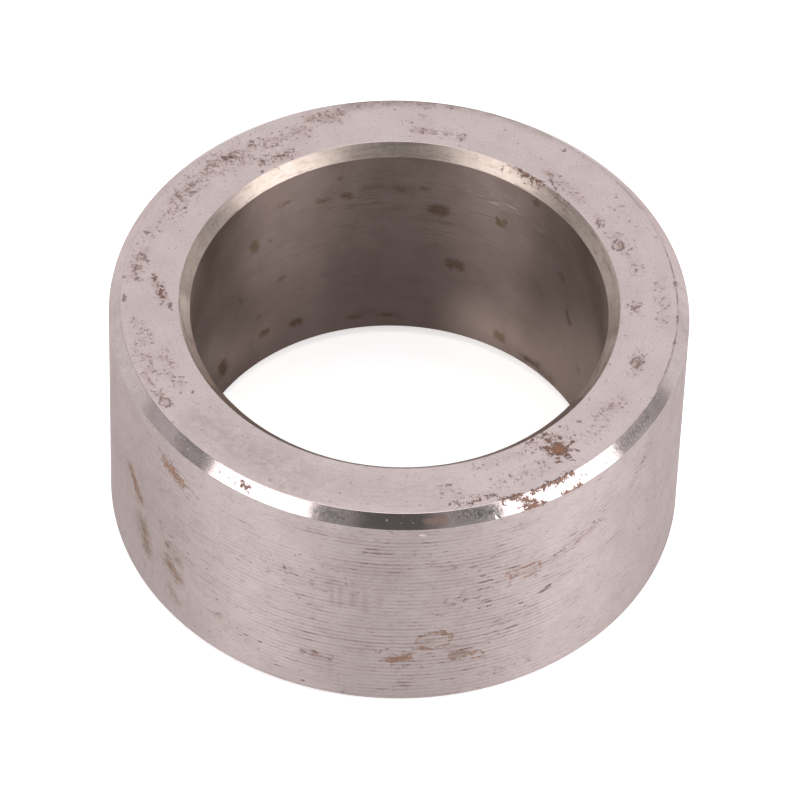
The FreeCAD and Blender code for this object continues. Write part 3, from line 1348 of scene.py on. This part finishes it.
def softbox(name, azimuth, elevation, distance, width, height, radiance):
    """A rectangular lamp that looks at the ring and is as bright as its radiance says."""
    data = bpy.data.lights.new(name, "AREA")
    data.shape = "RECTANGLE"
    data.size = width
    data.size_y = height
    data.energy = radiance * math.pi * width * height
    lamp = bpy.data.objects.new(name, data)
    bpy.context.collection.objects.link(lamp)
    a, e = math.radians(azimuth), math.radians(elevation)
    away = Vector((math.cos(a) * math.cos(e), math.sin(a) * math.cos(e), math.sin(e)))
    lamp.location = Vector((0, 0, AIM_HEIGHT)) + away * distance
    lamp.rotation_euler = away.to_track_quat("Z", "Y").to_euler()


def studio_world():
    """Plain soft surroundings: light all round, with a dark side where the camera stands."""
    world = bpy.data.worlds.new("studio")
    bpy.context.scene.world = world
    world.use_nodes = True
    tree = world.node_tree
    tree.nodes.clear()
    way = add(tree, "ShaderNodeTexCoord").outputs["Generated"]
    parts = add(tree, "ShaderNodeSeparateXYZ", way).outputs
    azimuth = calc(tree, "DEGREES", calc(tree, "ARCTAN2", parts["Y"], parts["X"]))
    elevation = calc(tree, "DEGREES", calc(tree, "ARCSINE", parts["Z"]))
    below_top = soft_step(tree, elevation, 58.0, 72.0, 1.0, 0.0)
    bands = {
        "below the top": below_top,
        "raised": times(tree, below_top, soft_step(tree, elevation, 22.0, 28.0)),
        "low": soft_step(tree, elevation, 26.0, 32.0, 1.0, 0.0),
    }
    level = SURROUNDINGS
    for middle, full, none, depth, band in STRETCHES:
        turned = calc(tree, "WRAP", calc(tree, "SUBTRACT", azimuth, middle), 180.0, -180.0)
        inside = soft_step(tree, calc(tree, "ABSOLUTE", turned), full, none, 1.0, 0.0)
        taken = times(tree, times(tree, inside, bands[band]), depth)
        level = calc(tree, "SUBTRACT", level, taken)
    background = add(tree, "ShaderNodeBackground", WHITE, level)
    output = add(tree, "ShaderNodeOutputWorld")
    feed(output.inputs["Surface"], background.outputs[0])


def studio_floor():
    """A plain white floor that shows white in reflections too, and keeps the ring's shadow.

    From below it is clear, and light reaches the underside through it, so that side can be seen.
    """
    clean_slate()
    bpy.ops.mesh.primitive_plane_add(size=FLOOR_SIDE, location=(0, 0, bottom - FLOOR_GAP))
    floor = bpy.context.object
    floor.name = "studio_floor"
    material, tree = new_material("studio floor")
    paint = add(tree, "ShaderNodeBsdfDiffuse", FLOOR_TONE)
    path = add(tree, "ShaderNodeLightPath").outputs
    seen = calc(tree, "MAXIMUM", path["Is Camera Ray"], path["Is Transmission Ray"])
    lift = total(tree, (seen, FLOOR_GLOW), (path["Is Glossy Ray"], MIRRORED_FLOOR_GLOW))
    glow = add(tree, "ShaderNodeEmission", WHITE, lift)
    white = add(tree, "ShaderNodeAddShader", paint.outputs[0], glow.outputs[0]).outputs[0]
    clear = add(tree, "ShaderNodeBsdfTransparent").outputs[0]
    from_below = add(tree, "ShaderNodeNewGeometry").outputs["Backfacing"]
    from_underside = calc(tree, "LESS_THAN", path["Ray Length"], 4 * FLOOR_GAP)
    unseen = calc(tree, "MAXIMUM", from_below, from_underside)
    shader = add(tree, "ShaderNodeMixShader", unseen, white, clear)
    output = add(tree, "ShaderNodeOutputMaterial")
    feed(output.inputs["Surface"], shader.outputs[0])
    floor.data.materials.append(material)


def studio():
    """Floor, surroundings and lamps."""
    bpy.context.scene.view_settings.view_transform = "Standard"
    studio_floor()
    studio_world()
    softbox("right softbox", -27, 34, distance=0.6, width=0.405, height=0.36, radiance=2.82)
    softbox("left softbox", -139, 34, distance=0.6, width=0.33, height=0.36, radiance=2.45)
    softbox("overhead softbox", 90, 89, distance=1.6, width=1.36, height=1.36, radiance=1.5)


photo_camera()
studio()
ring = turned_ring()
paint_blemishes(ring)
give_finishes(ring)
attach(ring, "root")
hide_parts("bushing")
